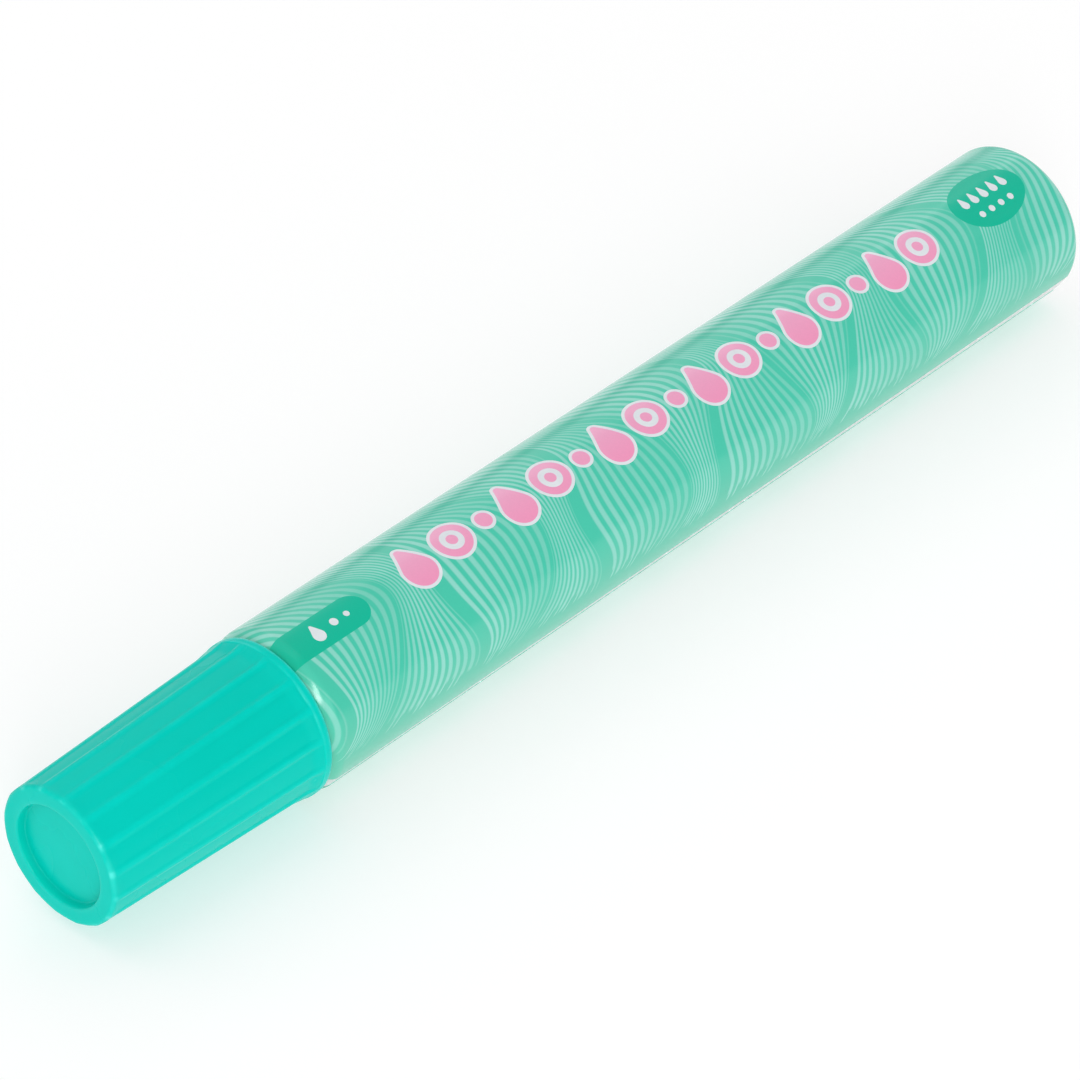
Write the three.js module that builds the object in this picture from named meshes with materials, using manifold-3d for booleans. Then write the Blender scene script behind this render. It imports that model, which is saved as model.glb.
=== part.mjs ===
// Liquid glue stick: a long clear bottle with a printed film round it, a sponge dabber with a sprung valve in its neck,
// and a tapered screw cap with sixteen grip panels. It lies on its side along X, cap towards -X, with the lowest line of the bottle on z = 0.
// Millimetres, +Z up. All stations "s" run along the axis from the cap's end face (s = 0) to the bottle's base (s = LENGTH).
import * as THREE from "three";
import { mergeVertices } from "three/addons/utils/BufferGeometryUtils.js";
import Module from "manifold-3d";

const wasm = await Module();
wasm.setup();

// ---- driving dimensions (mm) ----
const LENGTH = 190; // cap end to base
const BODY_R = 11.75; // bottle's outer radius at its two end lands
const ROUND = 48; // facets round the bottle
const AXIS_Z = BODY_R * Math.cos(Math.PI / ROUND); // a flat facet lies on z = 0

// cap
const CAP_LEN = 37.2; // end face to the rear edge of the collar
const CAP_R_FRONT = 10.1; // radius over the ridges at the end face
const CAP_R_REAR = 11.25; // radius over the ridges at the collar
const COLLAR_S = 36.2; // where the flare behind the grip ends in the plain collar
const FLARE_S = 33.9; // where that flare begins
const COLLAR_R = 11.5;
const PANELS = 16; // flat grip panels round the cap
const PANEL_DROP = 0.22; // panel middle below the ridge tops at the end face
const PANEL_DROP_REAR = 0.34; // and at the collar
const PANEL_END = 35.7; // where the panels stop, short of the rear edge
const RIDGE_W = 0.9; // width of the ridge left between two panels
const CAP_PHASE = THREE.MathUtils.degToRad(41.8); // one panel faces up and forwards, this far from +Z towards -Y
const RECESS_R = 7.4; // round recess in the end face
const RECESS_D = 1.2;
const CAP_BORE_R = 9.75; // bore over the neck's thread
const LINER_R = 8.1;
const LINER_T = 1.6;

// bottle
const SHOULDER_S = 37.5; // face of the shoulder
const SHOULDER_ROUND = 1.3;
const FILM_S0 = 39.5; // printed film, first and last station
const FILM_S1 = 187.9;
const FILM_BED_R = 11.42; // the bottle's radius under the film
const FILM_R0 = 11.48; // film, inside and outside
const FILM_R1 = 11.7;
const FILM_EDGE_A = -26; // unprinted strip, degrees from -Y towards +Z, first and last edge
const FILM_EDGE_B = -44;
const BORE_R = 10.7; // inside of the bottle
const BASE_ROUND = 1.6;
const NECK_R = 8.6; // neck, at the root of its thread
const NECK_BORE_R = 7.4;
const MOUTH_S = 24.5;
const GLUE_R = 10.4; // liquid fill, about 50 ml

// thread between neck and cap: three starts, right-hand
const STARTS = 3;
const LEAD = 9;
const NECK_CREST_R = 9.45;
const CAP_CREST_R = 8.9;
const NECK_THREAD = [27.2, 33.8]; // centre line of each ridge, from and to
const CAP_THREAD = [28.0, 34.6];
const THREAD_SHIFT = 1.36; // the cap's ridge behind the neck's ridge, along the axis

// applicator
const NOZZLE_FRONT = 12.5;
const GUIDE_R = 6.3; // bore that guides the dabber
const SEAT_S = [32.6, 34.0]; // valve seat
const SEAT_R = 2.4;
const PRESS = 2.0; // dabber's travel
const RING_S = [7.7, 10.2]; // ring that clamps the mesh
const HEAD_R = 6.15;
const STEM_R = 1.5;
const SPRING_R = 3.7; // mean coil radius
const WIRE_R = 0.42;
const SPRING_TURNS = 7;

// ---- helpers ----
// Welds a geometry to position only, drops triangles with no area, and turns the faces out.
function tidy(g) {
  const flat = g.index ? g.toNonIndexed() : g;
  const bare = new THREE.BufferGeometry().setAttribute("position", flat.getAttribute("position"));
  const m = mergeVertices(bare, 1e-4);
  const p = m.attributes.position.array;
  const kept = [];
  let six = 0;
  for (let i = 0; i < m.index.count; i += 3) {
    const [a, b, c] = [m.index.array[i], m.index.array[i + 1], m.index.array[i + 2]];
    if (a === b || b === c || c === a) continue;
    kept.push(a, b, c);
    const [A, B, C] = [a, b, c].map((k) => new THREE.Vector3(p[3 * k], p[3 * k + 1], p[3 * k + 2]));
    six += A.dot(B.cross(C));
  }
  if (six < 0) for (let i = 0; i < kept.length; i += 3) [kept[i + 1], kept[i + 2]] = [kept[i + 2], kept[i + 1]];
  m.setIndex(kept);
  return m;
}

function solid(g) {
  const m = tidy(g);
  return new wasm.Manifold(
    new wasm.Mesh({ numProp: 3, vertProperties: m.attributes.position.array, triVerts: new Uint32Array(m.index.array) }),
  );
}

function geometry(s) {
  const m = s.getMesh();
  return new THREE.BufferGeometry()
    .setAttribute("position", new THREE.BufferAttribute(new Float32Array(m.vertProperties), 3))
    .setIndex(new THREE.BufferAttribute(new Uint32Array(m.triVerts), 1));
}

// A profile of [s, r] points turned about the axis, which is +X here. half turns the facets by half a step.
function turned(profile, segments = ROUND, half = true) {
  const pts = profile.map(([s, r]) => new THREE.Vector2(r, s));
  const g = new THREE.LatheGeometry(pts, segments, half ? Math.PI / segments : 0);
  return tidy(g.rotateZ(-Math.PI / 2));
}

// Points of a quarter round from angle a to b (degrees, 0 along +s, 90 along +r) about (s0, r0).
function arc(s0, r0, rs, rr, a, b, n) {
  return Array.from({ length: n + 1 }, (_, i) => {
    const t = THREE.MathUtils.degToRad(a + ((b - a) * i) / n);
    return [s0 + rs * Math.cos(t), r0 + rr * Math.sin(t)];
  });
}

// A helix about +X whose section axes stay radial and axial, for threads and springs.
class Helix extends THREE.Curve {
  constructor(r, s0, s1, a0, a1) {
    super();
    Object.assign(this, { r, s0, s1, a0, a1 });
  }
  angle(t) {
    return this.a0 + (this.a1 - this.a0) * t;
  }
  getPoint(t, out = new THREE.Vector3()) {
    const a = this.angle(t);
    return out.set(this.s0 + (this.s1 - this.s0) * t, this.r * Math.cos(a), this.r * Math.sin(a));
  }
  computeFrenetFrames(n) {
    const tangents = [], normals = [], binormals = [];
    for (let i = 0; i <= n; i++) {
      const t = i / n, a = this.angle(t);
      tangents.push(this.getTangent(t));
      normals.push(new THREE.Vector3(0, Math.cos(a), Math.sin(a)));
      binormals.push(new THREE.Vector3(1, 0, 0));
    }
    return { tangents, normals, binormals };
  }
}

// One thread ridge: a trapezium from the root radius (embedded) to the crest.
function ridge(rootR, crestR, rootW, crestW, s0, s1, turn0, turn1) {
  const mid = (rootR + crestR) / 2;
  const shape = new THREE.Shape([
    new THREE.Vector2(rootR - mid, -rootW / 2),
    new THREE.Vector2(crestR - mid, -crestW / 2),
    new THREE.Vector2(crestR - mid, crestW / 2),
    new THREE.Vector2(rootR - mid, rootW / 2),
  ]);
  const steps = Math.max(8, Math.round((Math.abs(turn1 - turn0) / (2 * Math.PI)) * 24));
  return new THREE.ExtrudeGeometry(shape, {
    steps,
    bevelEnabled: false,
    extrudePath: new Helix(mid, s0, s1, turn0, turn1),
  });
}

function material(color, roughness, metalness = 0, extra = {}) {
  return new THREE.MeshStandardMaterial({ color, roughness, metalness, ...extra });
}

const group = new THREE.Group();
const body = new THREE.Group(); // axis frame: +X along the axis, origin at the cap's end face
body.position.set(-LENGTH / 2, 0, AXIS_Z);
group.add(body);
function add(name, g, mat) {
  const mesh = new THREE.Mesh(g, mat);
  mesh.name = name;
  body.add(mesh);
  return mesh;
}

// ---- materials ----
const capPlastic = material(0x05cdb8, 0.35);
const clearPlastic = material(0xdff0ea, 0.12, 0, { transparent: true, opacity: 0.45 });
const printedFilm = material(0x55cdb0, 0.3);
const glueLiquid = material(0xf1f4ee, 0.15);
const whitePlastic = material(0xeef1ee, 0.4);
const foam = material(0xf4efdf, 0.95);
const netting = material(0xf7f7f2, 0.7);
const springSteel = material(0xb9bcc0, 0.3, 1.0);
const silicone = material(0xd9dcd8, 0.55);
const linerFoam = material(0xfafaf7, 0.9);

// ---- bottle: base, wall, shoulder and threaded neck in one moulding ----
{
  const profile = [
    [188.3, 0],
    [188.3, 8.4],
    ...arc(186.2, 8.4, 2.1, 2.3, 0, 90, 3).slice(1), // inside of the heel
    [41.0, BORE_R],
    [39.6, 10.1],
    [38.9, 8.6],
    [38.4, NECK_BORE_R],
    [MOUTH_S, NECK_BORE_R],
    [MOUTH_S, 8.35],
    [MOUTH_S + 0.25, NECK_R],
    [36.4, NECK_R],
    [37.1, 8.8],
    [SHOULDER_S, 9.3],
    ...arc(SHOULDER_S + SHOULDER_ROUND, BODY_R - SHOULDER_ROUND, SHOULDER_ROUND, SHOULDER_ROUND, 180, 90, 4),
    [FILM_S0 - 0.3, BODY_R],
    [FILM_S0 - 0.3, FILM_BED_R],
    [FILM_S1 + 0.3, FILM_BED_R],
    [FILM_S1 + 0.3, BODY_R],
    ...arc(LENGTH - BASE_ROUND, BODY_R - BASE_ROUND, BASE_ROUND, BASE_ROUND, 90, 0, 5),
    [LENGTH, 7.0],
    [LENGTH - 0.7, 6.2],
    [LENGTH - 0.7, 0],
  ];
  let bottle = solid(turned(profile));
  const turns = (NECK_THREAD[1] - NECK_THREAD[0]) / LEAD;
  for (let i = 0; i < STARTS; i++) {
    const a = (i * 2 * Math.PI) / STARTS;
    bottle = bottle.add(solid(ridge(NECK_R - 0.4, NECK_CREST_R, 2.0, 0.7, NECK_THREAD[0], NECK_THREAD[1], a, a + turns * 2 * Math.PI)));
  }
  add("barrel", geometry(bottle), clearPlastic);
}

// ---- printed film: wraps the bottle and leaves a clear strip low on the front ----
{
  // Shape plane: x is -Z and y is Y once the extrusion runs along +X.
  const rad = (d) => THREE.MathUtils.degToRad(d);
  const at = (r, deg) => {
    // deg is measured from -Y towards +Z
    const y = -r * Math.cos(rad(deg));
    const z = r * Math.sin(rad(deg));
    return new THREE.Vector2(-z, y);
  };
  const from = FILM_EDGE_A, to = FILM_EDGE_B + 360;
  const n = 48;
  const outer = Array.from({ length: n + 1 }, (_, i) => at(FILM_R1, from + ((to - from) * i) / n));
  const inner = Array.from({ length: n + 1 }, (_, i) => at(FILM_R0, to - ((to - from) * i) / n));
  const g = new THREE.ExtrudeGeometry(new THREE.Shape([...outer, ...inner]), {
    depth: FILM_S1 - FILM_S0,
    steps: 1,
    bevelEnabled: false,
  });
  g.rotateY(Math.PI / 2).translate(FILM_S0, 0, 0);
  add("print_wrap", tidy(g), printedFilm);
}

// ---- liquid fill ----
add(
  "glue_fill",
  turned(
    [
      [187.4, 0],
      [187.4, 8.2],
      [186.6, 9.6],
      [185.4, GLUE_R],
      [41.2, GLUE_R],
      [40.3, 9.6],
      [40.3, 0],
    ],
    48,
  ),
  glueLiquid,
);

// ---- nozzle: plug with two sealing beads, flange on the mouth, front sleeve that guides the dabber, valve seat ----
add(
  "nozzle",
  turned(
    [
      [NOZZLE_FRONT, GUIDE_R + 0.15],
      [NOZZLE_FRONT + 0.3, GUIDE_R],
      [SEAT_S[0], GUIDE_R],
      [SEAT_S[0], SEAT_R],
      [SEAT_S[1], SEAT_R],
      [SEAT_S[1], 6.6],
      [33.2, 7.2],
      [31.6, 7.2],
      [31.2, 7.33],
      [30.8, 7.2],
      [27.6, 7.2],
      [27.2, 7.33],
      [26.8, 7.2],
      [24.25, 7.2],
      [24.25, 8.35],
      [23.1, 8.35],
      [22.9, 8.15],
      [22.7, 7.75],
      [NOZZLE_FRONT + 0.5, 7.05],
      [NOZZLE_FRONT, 6.8],
      [NOZZLE_FRONT, GUIDE_R + 0.15],
    ],
    48,
  ),
  whitePlastic,
);

// ---- dabber: sponge carrier with its stem, poppet, spring, sponge, mesh and clamping ring ----
{
  let carrier = solid(
    turned(
      [
        [11.5, 0],
        [11.5, 5.05],
        [7.8, 5.05],
        [7.8, 5.85],
        [11.3, 5.85],
        [11.5, HEAD_R],
        [13.3, HEAD_R],
        [13.5, 5.95],
        [13.5, 2.6],
        [14.6, 2.3],
        [14.9, STEM_R],
        [35.7, STEM_R],
        [35.75, 2.0],
        [36.3, 2.0],
        [37.3, 1.1],
        [37.3, 0],
      ],
      36,
    ),
  );
  for (let i = 0; i < 6; i++) {
    const a = (i * Math.PI) / 3;
    const hole = new THREE.CylinderGeometry(0.75, 0.75, 6, 12).rotateZ(Math.PI / 2);
    hole.translate(12.5, 3.75 * Math.cos(a), 3.75 * Math.sin(a));
    carrier = carrier.subtract(solid(hole));
  }
  add("sponge_carrier", geometry(carrier), whitePlastic);
}
add(
  "valve_poppet",
  turned(
    [
      [34.3, 1.62],
      [34.3, 3.2],
      [34.7, 3.7],
      [35.3, 3.7],
      [35.6, 3.3],
      [35.6, 1.62],
      [34.3, 1.62],
    ],
    32,
  ),
  silicone,
);
{
  const wire = new THREE.Shape().absarc(0, 0, WIRE_R, 0, 2 * Math.PI, false);
  const g = new THREE.ExtrudeGeometry(wire, {
    steps: SPRING_TURNS * 12,
    curveSegments: 3,
    bevelEnabled: false,
    extrudePath: new Helix(SPRING_R, 14.25, 31.95, 0, SPRING_TURNS * 2 * Math.PI),
  });
  add("valve_spring", tidy(g), springSteel);
}
add(
  "sponge_tip",
  turned(
    [
      [11.2, 0],
      [11.2, 4.8],
      [7.55, 4.85],
      ...arc(7.5, 0, 2.1, 5.7, 90, 180, 5),
    ],
    36,
  ),
  foam,
);
add(
  "mesh_cover",
  turned(
    [
      [5.2, 0],
      ...arc(7.5, 0, 2.3, 5.95, 180, 90, 5).slice(1),
      [10.1, 5.95],
      [10.1, 6.18],
      ...arc(7.5, 0, 2.6, 6.18, 90, 180, 5),
    ],
    36,
  ),
  netting,
);
add(
  "tip_ring",
  turned(
    [
      [RING_S[0], 6.25],
      [RING_S[0], 6.75],
      [RING_S[0] + 0.3, 7.0],
      [RING_S[1] - 0.2, 7.0],
      [RING_S[1], 6.8],
      [RING_S[1], 6.25],
      [RING_S[0], 6.25],
    ],
    48,
  ),
  whitePlastic,
);

// ---- cap: tapered shell with sixteen flat panels, thin ridges between them, a collar, an end recess and an inner thread ----
{
  let shell = solid(
    turned(
      [
        [RECESS_D, 0],
        [RECESS_D, RECESS_R - 0.45],
        [RECESS_D - 0.2, RECESS_R - 0.2],
        [0.12, RECESS_R],
        [0, RECESS_R + 0.15],
        ...arc(0.6, CAP_R_FRONT - 0.6, 0.6, 0.6, 180, 92, 3),
        [FLARE_S, CAP_R_REAR],
        [COLLAR_S, COLLAR_R],
        [CAP_LEN - 0.35, COLLAR_R],
        [CAP_LEN, COLLAR_R - 0.3],
        [CAP_LEN, 10.2],
        [CAP_LEN - 0.8, CAP_BORE_R],
        [25.0, CAP_BORE_R],
        [23.8, 9.3],
        [3.4, 8.55],
        [2.7, 8.1],
        [2.7, 0],
      ],
      ROUND,
      false,
    ),
  );
  const slope = (CAP_R_REAR - PANEL_DROP_REAR - CAP_R_FRONT + PANEL_DROP) / (FLARE_S - 0.6);
  const tilt = Math.atan(slope);
  const half = Math.PI / PANELS;
  const wide = (r) => r * Math.sin(half) - RIDGE_W / 2;
  for (let i = 0; i < PANELS; i++) {
    // plan of one panel: open at the end face, rounded at the collar
    const w0 = wide(CAP_R_FRONT - slope * 3), w1 = wide(CAP_R_REAR), end = PANEL_END;
    const plan = new THREE.Shape();
    plan.moveTo(-3, -w0);
    plan.lineTo(end - 0.6, -w1);
    plan.quadraticCurveTo(end, -w1, end, -w1 + 0.6);
    plan.lineTo(end, w1 - 0.6);
    plan.quadraticCurveTo(end, w1, end - 0.6, w1);
    plan.lineTo(-3, w0);
    const cut = new THREE.ExtrudeGeometry(plan, { depth: 3, bevelEnabled: false, curveSegments: 3 });
    cut.rotateY(-tilt).translate(0, 0, CAP_R_FRONT - PANEL_DROP);
    cut.rotateX(CAP_PHASE + 2 * half * i);
    shell = shell.subtract(solid(cut));
  }
  const turns = (CAP_THREAD[1] - CAP_THREAD[0]) / LEAD;
  for (let i = 0; i < STARTS; i++) {
    const a0 = (i * 2 * Math.PI) / STARTS + ((CAP_THREAD[0] - THREAD_SHIFT - NECK_THREAD[0]) / LEAD) * 2 * Math.PI;
    shell = shell.add(solid(ridge(CAP_BORE_R + 0.25, CAP_CREST_R, 1.5, 0.6, CAP_THREAD[0], CAP_THREAD[1], a0, a0 + turns * 2 * Math.PI)));
  }
  add("cap_shell", geometry(shell), capPlastic);
}
add(
  "cap_liner",
  turned(
    [
      [2.95, 0],
      [2.95, LINER_R - 0.1],
      [3.05, LINER_R],
      [2.95 + LINER_T - 0.1, LINER_R],
      [2.95 + LINER_T, LINER_R - 0.1],
      [2.95 + LINER_T, 0],
    ],
    48,
  ),
  linerFoam,
);

export default group;
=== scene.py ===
"""Liquid glue stick lying on its side: the visual model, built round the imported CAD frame.

Lengths in the helpers are millimetres in the stick's own coordinates:
  s   distance along the axis from the cap's end face (0) to the base (190)
  r   radius from the axis
  th  angle about the axis, from the -Y side up towards +Z
place() turns them into metres in the CAD frame.
"""

import math

import bpy
import numpy as np
from mathutils import Matrix, Vector
from mathutils.geometry import delaunay_2d_cdt


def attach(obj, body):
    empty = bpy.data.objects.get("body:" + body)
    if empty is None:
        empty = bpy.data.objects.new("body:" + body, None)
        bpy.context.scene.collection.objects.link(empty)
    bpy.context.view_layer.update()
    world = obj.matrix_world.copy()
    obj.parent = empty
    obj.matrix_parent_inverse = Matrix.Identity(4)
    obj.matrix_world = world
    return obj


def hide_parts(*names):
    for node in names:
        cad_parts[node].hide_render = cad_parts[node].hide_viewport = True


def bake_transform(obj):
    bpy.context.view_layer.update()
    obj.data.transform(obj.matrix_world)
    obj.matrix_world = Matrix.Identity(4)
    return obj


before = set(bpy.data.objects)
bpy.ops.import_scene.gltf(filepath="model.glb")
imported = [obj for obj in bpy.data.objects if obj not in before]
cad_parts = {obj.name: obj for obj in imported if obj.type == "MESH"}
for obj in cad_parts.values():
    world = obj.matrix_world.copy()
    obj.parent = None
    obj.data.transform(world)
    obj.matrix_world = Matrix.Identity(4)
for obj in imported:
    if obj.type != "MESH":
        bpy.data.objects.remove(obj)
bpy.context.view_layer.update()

MM = 0.001
AXIS_Z = 11.75 * math.cos(math.pi / 48)
HALF = 95.0
TAU = 2 * math.pi
scene = bpy.context.scene


# ------------------------------------------------------------------ geometry helpers


def place(s, r, th):
    s, r, th = np.broadcast_arrays(
        np.asarray(s, float), np.asarray(r, float), np.asarray(th, float)
    )
    return (
        np.stack([s - HALF, -r * np.cos(th), AXIS_Z + r * np.sin(th)], -1) * MM
    )


def smooth(a, b, x):
    t = np.clip((np.asarray(x, float) - a) / (b - a), 0.0, 1.0)
    return t * t * (3 - 2 * t)


def new_object(name, points, faces, sharp=42.0):
    mesh = bpy.data.meshes.new(name)
    mesh.from_pydata(
        [tuple(p) for p in points], [], [tuple(int(i) for i in f) for f in faces]
    )
    mesh.validate()
    mesh.shade_smooth()
    mesh.set_sharp_from_angle(angle=math.radians(sharp))
    mesh.update()
    ob = bpy.data.objects.new(name, mesh)
    scene.collection.objects.link(ob)
    return ob


def grid_faces(rows, cols, loop):
    """Quads of a grid that closes round its columns, and round its rows too if loop."""
    faces = []
    for i in range(rows if loop else rows - 1):
        a, b = i * cols, ((i + 1) % rows) * cols
        for j in range(cols):
            k = (j + 1) % cols
            faces.append((a + j, a + k, b + k, b + j))
    return faces


def outward(ob):
    """Turns the faces of a closed mesh so that its volume is positive."""
    mesh = ob.data
    mesh.calc_loop_triangles()
    n = len(mesh.loop_triangles)
    tri = np.empty(n * 3, np.int32)
    mesh.loop_triangles.foreach_get("vertices", tri)
    co = np.empty(len(mesh.vertices) * 3, np.float32)
    mesh.vertices.foreach_get("co", co)
    co = co.reshape(-1, 3).astype(float) - co.reshape(-1, 3).mean(0)
    a, b, c = (co[tri.reshape(-1, 3)[:, i]] for i in range(3))
    if (a * np.cross(b, c)).sum() < 0:
        mesh.flip_normals()
    return ob


def turned(name, S, R, th, first=None, last=None, loop=False, sharp=42.0):
    """A solid of revolution whose rows S, R may vary with th. first and last are the axis points that close its ends."""
    S, R = np.asarray(S, float), np.asarray(R, float)
    rows, cols = len(S), len(th)
    if S.ndim == 1:
        S = np.repeat(S[:, None], cols, 1)
    if R.ndim == 1:
        R = np.repeat(R[:, None], cols, 1)
    pts = place(S, R, np.asarray(th)[None, :]).reshape(-1, 3)
    faces = grid_faces(rows, cols, loop)
    pts = list(pts)
    if first is not None:
        pts.append(place(first, 0.0, 0.0))
        n = len(pts) - 1
        faces += [(n, (j + 1) % cols, j) for j in range(cols)]
    if last is not None:
        pts.append(place(last, 0.0, 0.0))
        n = len(pts) - 1
        base = (rows - 1) * cols
        faces += [(n, base + j, base + (j + 1) % cols) for j in range(cols)]
    return outward(new_object(name, pts, faces, sharp))


def filleted(points, closed=False, steps=5):
    """Rounds the corners of a profile given as (s, r) or (s, r, fillet)."""
    n, out = len(points), []
    for i, p in enumerate(points):
        f = p[2] if len(p) > 2 else 0.0
        here = np.array(p[:2], float)
        if f <= 0 or (not closed and i in (0, n - 1)):
            out.append(tuple(here))
            continue
        before = np.array(points[i - 1][:2], float) - here
        after = np.array(points[(i + 1) % n][:2], float) - here
        lb, la = np.linalg.norm(before), np.linalg.norm(after)
        ub, ua = before / lb, after / la
        cosine = np.clip(ub @ ua, -1, 1)
        half = math.acos(cosine) / 2
        reach = min(f / math.tan(half), 0.49 * lb, 0.49 * la)
        radius = reach * math.tan(half)
        mid = ub + ua
        centre = here + mid / np.linalg.norm(mid) * radius / math.sin(half)
        p0, p1 = here + ub * reach - centre, here + ua * reach - centre
        a0, a1 = math.atan2(p0[1], p0[0]), math.atan2(p1[1], p1[0])
        turn = (a1 - a0 + math.pi) % TAU - math.pi
        for k in range(steps + 1):
            a = a0 + turn * k / steps
            out.append(
                (centre[0] + radius * math.cos(a), centre[1] + radius * math.sin(a))
            )
    return out


def dense(profile, longest):
    """Adds points so that no straight of the profile is longer than that."""
    out = [profile[0]]
    for a, b in zip(profile, profile[1:]):
        n = max(1, math.ceil(math.dist(a, b) / longest))
        out += [
            (a[0] + (b[0] - a[0]) * k / n, a[1] + (b[1] - a[1]) * k / n)
            for k in range(1, n + 1)
        ]
    return out


def ring_angles(n):
    return np.arange(n) * TAU / n


def add_floats(ob, name, values):
    attribute = ob.data.attributes.new(name, "FLOAT", "POINT")
    attribute.data.foreach_set("value", np.asarray(values, np.float32).ravel())


# ------------------------------------------------------------------ node helpers


def lin(r, g, b):
    """Linear colour of an sRGB one given from 0 to 255."""

    def one(c):
        c /= 255
        return c / 12.92 if c <= 0.04045 else ((c + 0.055) / 1.055) ** 2.4

    return (one(r), one(g), one(b), 1.0)


class Graph:
    """Short ways to write a material's nodes."""

    def __init__(self, name):
        self.material = bpy.data.materials.new(name)
        self.material.use_nodes = True
        self.tree = self.material.node_tree
        self.tree.nodes.clear()
        self.out = self.tree.nodes.new("ShaderNodeOutputMaterial")
        self.bsdf = self.tree.nodes.new("ShaderNodeBsdfPrincipled")
        self.link(self.bsdf.outputs["BSDF"], self.out.inputs["Surface"])

    def link(self, a, b):
        self.tree.links.new(a, b)

    def put(self, value, socket):
        if isinstance(value, bpy.types.NodeSocket):
            self.link(value, socket)
        else:
            socket.default_value = value

    def set(self, **values):
        for k, v in values.items():
            self.put(v, self.bsdf.inputs[k.replace("_", " ")])

    def math(self, op, a, b=None, c=None, clamp=False):
        n = self.tree.nodes.new("ShaderNodeMath")
        n.operation = op
        n.use_clamp = clamp
        for i, v in enumerate((a, b, c)):
            if v is not None:
                self.put(v, n.inputs[i])
        return n.outputs[0]

    def add(self, a, b):
        return self.math("ADD", a, b)

    def sub(self, a, b):
        return self.math("SUBTRACT", a, b)

    def mul(self, a, b):
        return self.math("MULTIPLY", a, b)

    def step(self, value, a, b, to_a=0.0, to_b=1.0):
        n = self.tree.nodes.new("ShaderNodeMapRange")
        n.interpolation_type = "SMOOTHSTEP"
        self.put(value, n.inputs["Value"])
        for k, v in (
            ("From Min", a),
            ("From Max", b),
            ("To Min", to_a),
            ("To Max", to_b),
        ):
            self.put(v, n.inputs[k])
        return n.outputs["Result"]

    def ramp(self, value, a, b, to_a, to_b):
        n = self.tree.nodes.new("ShaderNodeMapRange")
        n.clamp = True
        self.put(value, n.inputs["Value"])
        for k, v in (
            ("From Min", a),
            ("From Max", b),
            ("To Min", to_a),
            ("To Max", to_b),
        ):
            self.put(v, n.inputs[k])
        return n.outputs["Result"]

    def mix(self, factor, a, b, blend="MIX"):
        n = self.tree.nodes.new("ShaderNodeMix")
        n.data_type = "RGBA"
        n.blend_type = blend
        n.clamp_factor = True
        self.put(factor, n.inputs[0])
        self.put(a, n.inputs[6])
        self.put(b, n.inputs[7])
        return n.outputs[2]

    def coords(self):
        return self.tree.nodes.new("ShaderNodeTexCoord").outputs["Object"]

    def uv(self, name):
        n = self.tree.nodes.new("ShaderNodeUVMap")
        n.uv_map = name
        s = self.tree.nodes.new("ShaderNodeSeparateXYZ")
        self.link(n.outputs["UV"], s.inputs[0])
        return s.outputs[0], s.outputs[1]

    def attribute(self, name):
        n = self.tree.nodes.new("ShaderNodeAttribute")
        n.attribute_name = name
        return n.outputs["Fac"]

    def stretched(self, vector, x, y, z):
        n = self.tree.nodes.new("ShaderNodeMapping")
        n.inputs["Scale"].default_value = (x, y, z)
        self.link(vector, n.inputs["Vector"])
        return n.outputs[0]

    def noise(self, vector, scale, detail=2.0, rough=0.5, distortion=0.0):
        n = self.tree.nodes.new("ShaderNodeTexNoise")
        self.put(vector, n.inputs["Vector"])
        n.inputs["Scale"].default_value = scale
        n.inputs["Detail"].default_value = detail
        n.inputs["Roughness"].default_value = rough
        n.inputs["Distortion"].default_value = distortion
        return n.outputs["Fac"]

    def voronoi(self, vector, scale, feature="F1"):
        n = self.tree.nodes.new("ShaderNodeTexVoronoi")
        n.feature = feature
        self.put(vector, n.inputs["Vector"])
        n.inputs["Scale"].default_value = scale
        return n.outputs["Distance"]

    def bump(self, height, strength, distance, normal=None):
        n = self.tree.nodes.new("ShaderNodeBump")
        n.inputs["Strength"].default_value = strength
        n.inputs["Distance"].default_value = distance
        self.link(height, n.inputs["Height"])
        if normal is not None:
            self.link(normal, n.inputs["Normal"])
        return n.outputs["Normal"]


def cover(ob, material):
    ob.data.materials.clear()
    ob.data.materials.append(material)


# ------------------------------------------------------------------ camera, light, floor

AZ, EL = math.radians(-47.5946), math.radians(37.6375)
back = Vector((math.sin(AZ) * math.cos(EL), -math.cos(AZ) * math.cos(EL), math.sin(EL)))
right = Vector((math.cos(AZ), math.sin(AZ), 0.0))
up = back.cross(right)
camera = bpy.data.objects.new("camera", bpy.data.cameras.new("camera"))
scene.collection.objects.link(camera)
turn = Matrix((right, up, back)).transposed().to_4x4()
where = (
    Vector((0, 0, AXIS_Z * MM)) + back * 0.75792 - right * 0.0042958 - up * 0.0035074
)
camera.matrix_world = Matrix.Translation(where) @ turn
camera.data.sensor_width = 36.0
camera.data.lens = 5665.476 / 1080 * 36.0
camera.data.clip_start, camera.data.clip_end = 0.01, 50.0
scene.camera = camera

scene.view_settings.view_transform = "Standard"
scene.view_settings.look = "None"
scene.view_settings.exposure = 0.0
scene.view_settings.gamma = 1.0

world = bpy.data.worlds.new("studio")
world.use_nodes = True
world.node_tree.nodes["Background"].inputs["Color"].default_value = (1, 1, 1, 1)
scene.world = world
tree = world.node_tree
towards = tree.nodes.new("ShaderNodeTexCoord")
axes = tree.nodes.new("ShaderNodeSeparateXYZ")
tent = tree.nodes.new("ShaderNodeMapRange")
tent.interpolation_type = "SMOOTHSTEP"
for socket, value in (("From Min", -0.6), ("From Max", 0.6), ("To Min", 0.71), ("To Max", 0.42)):
    tent.inputs[socket].default_value = value
tree.links.new(towards.outputs["Generated"], axes.inputs[0])
tree.links.new(axes.outputs[0], tent.inputs["Value"])
tree.links.new(tent.outputs["Result"], tree.nodes["Background"].inputs["Strength"])


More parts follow.
